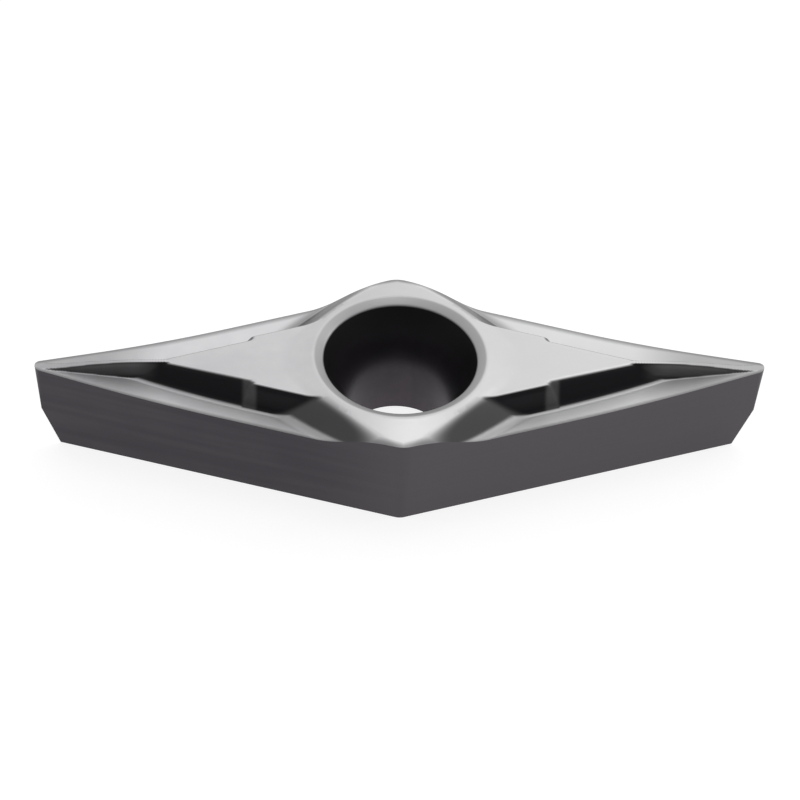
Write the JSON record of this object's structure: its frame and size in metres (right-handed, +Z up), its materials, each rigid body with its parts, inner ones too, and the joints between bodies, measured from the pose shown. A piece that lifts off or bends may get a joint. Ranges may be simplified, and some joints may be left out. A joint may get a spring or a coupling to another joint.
{
  "type": "indexable carbide turning insert",
  "caption": "Rhombic positive-relief turning insert with a countersunk screw hole, ground chip groove and raised centre, for finishing cuts",
  "frame": {"origin": "middle of the seating face, on the screw hole's axis", "axes": "+X along the long diagonal to one cutting point, +Y along the short diagonal, +Z up the screw hole's axis out of the rake side"},
  "size_m": [0.0202, 0.0066, 0.0034],
  "materials": {
    "carbide": "ground and polished"
  },
  "bodies": {
    "root": {"insert": "carbide"}
  },
  "joints": []
}
